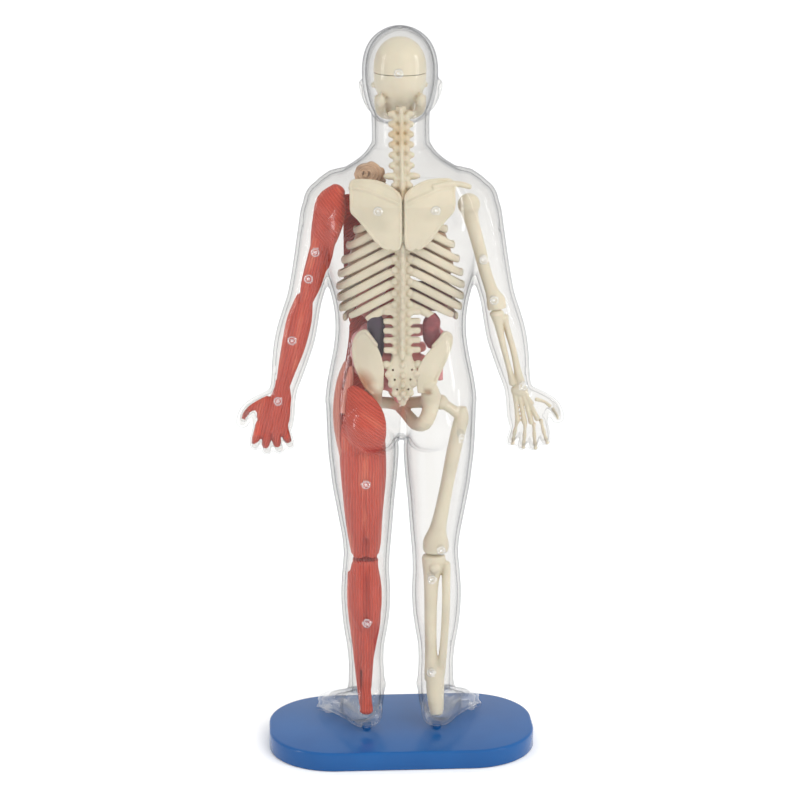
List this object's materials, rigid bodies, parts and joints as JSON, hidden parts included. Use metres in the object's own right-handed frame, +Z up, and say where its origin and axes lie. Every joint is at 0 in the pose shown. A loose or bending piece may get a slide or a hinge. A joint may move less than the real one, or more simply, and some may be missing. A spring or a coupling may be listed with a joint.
{
  "type": "human anatomy model",
  "caption": "Standing clear-bodied human anatomy model with skeleton bones on one side, muscles on the other, soft organs inside and an oblong stand.",
  "frame": {"origin": "centre of the stand's underside", "axes": "+Z up, the figure faces -Y, the figure's own left side is +X"},
  "size_m": [0.1365, 0.066, 0.3049],
  "materials": {
    "stand_blue": "glossy moulded plastic",
    "clear_plastic": "clear, glossy, slightly smoky at the edges",
    "bone_cream": "satin cream plastic",
    "muscle_red": "soft satin coral red with fibre lines",
    "lung_brown": "soft satin brown with fine ridges",
    "heart_red": "soft satin dark red",
    "liver_brown": "soft satin brown red",
    "stomach_rose": "soft satin rose",
    "kidney_dark": "soft satin near black",
    "kidney_wine": "soft satin wine red",
    "gut_pink": "soft satin pink",
    "gut_coral": "soft satin coral",
    "bladder_amber": "soft satin amber",
    "brain_rose": "soft satin rose grey"
  },
  "bodies": {
    "base": {"base_plate": "stand_blue"},
    "figure": {"back_shell": "clear_plastic", "spine_rear_ribs": "bone_cream", "left_scapula": "bone_cream", "right_scapula": "bone_cream"},
    "front_shell": {"front_shell": "clear_plastic"},
    "torso_muscles": {"left_torso_muscles": "muscle_red"},
    "rib_cage": {"front_rib_cage": "bone_cream"},
    "small_intestine": {"small_intestine": "gut_coral"},
    "heart": {"heart": "heart_red"},
    "bladder": {"bladder": "bladder_amber"},
    "large_intestine": {"large_intestine": "gut_pink"},
    "liver": {"liver": "liver_brown"},
    "stomach": {"stomach": "stomach_rose"},
    "left_kidney": {"left_kidney": "kidney_dark"},
    "right_kidney": {"right_kidney": "kidney_wine"},
    "left_lung": {"left_lung": "lung_brown"},
    "right_lung": {"right_lung": "lung_brown"},
    "skull": {"skull_base": "bone_cream"},
    "skull_cap": {"skull_cap": "bone_cream"},
    "brain": {"brain": "brain_rose"},
    "pelvis": {"pelvis": "bone_cream"},
    "right_thigh": {"right_femur": "bone_cream"},
    "left_thigh": {"left_thigh_muscles": "muscle_red"},
    "right_shin": {"right_shin_bones": "bone_cream"},
    "left_calf": {"left_calf_muscles": "muscle_red"},
    "right_arm": {"right_humerus": "bone_cream", "right_forearm_bones": "bone_cream"},
    "left_arm": {"left_arm_muscles": "muscle_red"}
  },
  "joints": [
    {"name": "figure_lift", "type": "slide", "parent": "base", "child": "figure", "axis": [0, 0, 1], "range_m": [0, 0.06]},
    {"name": "front_shell_pull", "type": "slide", "parent": "figure", "child": "front_shell", "axis": [0, -1, 0], "range_m": [0, 0.2]},
    {"name": "torso_muscles_pull", "type": "slide", "parent": "figure", "child": "torso_muscles", "axis": [0, -1, 0], "range_m": [0, 0.176]},
    {"name": "rib_cage_pull", "type": "slide", "parent": "figure", "child": "rib_cage", "axis": [0, -1, 0], "range_m": [0, 0.152]},
    {"name": "small_intestine_pull", "type": "slide", "parent": "figure", "child": "small_intestine", "axis": [0, -1, 0], "range_m": [0, 0.132]},
    {"name": "heart_pull", "type": "slide", "parent": "figure", "child": "heart", "axis": [0, -1, 0], "range_m": [0, 0.132]},
    {"name": "bladder_pull", "type": "slide", "parent": "figure", "child": "bladder", "axis": [0, -1, 0], "range_m": [0, 0.132]},
    {"name": "large_intestine_pull", "type": "slide", "parent": "figure", "child": "large_intestine", "axis": [0, -1, 0], "range_m": [0, 0.12]},
    {"name": "liver_pull", "type": "slide", "parent": "figure", "child": "liver", "axis": [0, -1, 0], "range_m": [0, 0.116]},
    {"name": "stomach_pull", "type": "slide", "parent": "figure", "child": "stomach", "axis": [0, -1, 0], "range_m": [0, 0.11]},
    {"name": "left_kidney_pull", "type": "slide", "parent": "figure", "child": "left_kidney", "axis": [0, -1, 0], "range_m": [0, 0.104]},
    {"name": "right_kidney_pull", "type": "slide", "parent": "figure", "child": "right_kidney", "axis": [0, -1, 0], "range_m": [0, 0.104]},
    {"name": "left_lung_pull", "type": "slide", "parent": "figure", "child": "left_lung", "axis": [0, -1, 0], "range_m": [0, 0.1]},
    {"name": "right_lung_pull", "type": "slide", "parent": "figure", "child": "right_lung", "axis": [0, -1, 0], "range_m": [0, 0.1]},
    {"name": "skull_pull", "type": "slide", "parent": "figure", "child": "skull", "axis": [0, -1, 0], "range_m": [0, 0.1]},
    {"name": "pelvis_pull", "type": "slide", "parent": "figure", "child": "pelvis", "axis": [0, -1, 0], "range_m": [0, 0.09]},
    {"name": "right_thigh_pull", "type": "slide", "parent": "figure", "child": "right_thigh", "axis": [0, -1, 0], "range_m": [0, 0.09]},
    {"name": "left_thigh_pull", "type": "slide", "parent": "figure", "child": "left_thigh", "axis": [0, -1, 0], "range_m": [0, 0.09]},
    {"name": "right_shin_pull", "type": "slide", "parent": "figure", "child": "right_shin", "axis": [0, -1, 0], "range_m": [0, 0.06]},
    {"name": "left_calf_pull", "type": "slide", "parent": "figure", "child": "left_calf", "axis": [0, -1, 0], "range_m": [0, 0.06]},
    {"name": "right_arm_pull", "type": "slide", "parent": "figure", "child": "right_arm", "axis": [0, -1, 0], "range_m": [0, 0.06]},
    {"name": "left_arm_pull", "type": "slide", "parent": "figure", "child": "left_arm", "axis": [0, -1, 0], "range_m": [0, 0.06]},
    {"name": "skull_cap_lift", "type": "slide", "parent": "skull", "child": "skull_cap", "axis": [0, 0, 1], "range_m": [0, 0.016]},
    {"name": "brain_lift", "type": "slide", "parent": "skull", "child": "brain", "axis": [0, 0, 1], "range_m": [0, 0.008]}
  ],
  "couplings": [
    {"joint": "torso_muscles_pull", "follows": "front_shell_pull", "ratio": 0.88},
    {"joint": "rib_cage_pull", "follows": "front_shell_pull", "ratio": 0.76},
    {"joint": "small_intestine_pull", "follows": "front_shell_pull", "ratio": 0.66},
    {"joint": "heart_pull", "follows": "front_shell_pull", "ratio": 0.66},
    {"joint": "bladder_pull", "follows": "front_shell_pull", "ratio": 0.66},
    {"joint": "large_intestine_pull", "follows": "front_shell_pull", "ratio": 0.6},
    {"joint": "liver_pull", "follows": "front_shell_pull", "ratio": 0.58},
    {"joint": "stomach_pull", "follows": "front_shell_pull", "ratio": 0.55},
    {"joint": "left_kidney_pull", "follows": "front_shell_pull", "ratio": 0.52},
    {"joint": "right_kidney_pull", "follows": "front_shell_pull", "ratio": 0.52},
    {"joint": "left_lung_pull", "follows": "front_shell_pull", "ratio": 0.5},
    {"joint": "right_lung_pull", "follows": "front_shell_pull", "ratio": 0.5},
    {"joint": "skull_pull", "follows": "front_shell_pull", "ratio": 0.5},
    {"joint": "pelvis_pull", "follows": "front_shell_pull", "ratio": 0.45},
    {"joint": "right_thigh_pull", "follows": "front_shell_pull", "ratio": 0.45},
    {"joint": "left_thigh_pull", "follows": "front_shell_pull", "ratio": 0.45},
    {"joint": "right_shin_pull", "follows": "front_shell_pull", "ratio": 0.3},
    {"joint": "left_calf_pull", "follows": "front_shell_pull", "ratio": 0.3},
    {"joint": "right_arm_pull", "follows": "front_shell_pull", "ratio": 0.3},
    {"joint": "left_arm_pull", "follows": "front_shell_pull", "ratio": 0.3},
    {"joint": "skull_cap_lift", "follows": "front_shell_pull", "ratio": 0.08},
    {"joint": "brain_lift", "follows": "front_shell_pull", "ratio": 0.04}
  ]
}
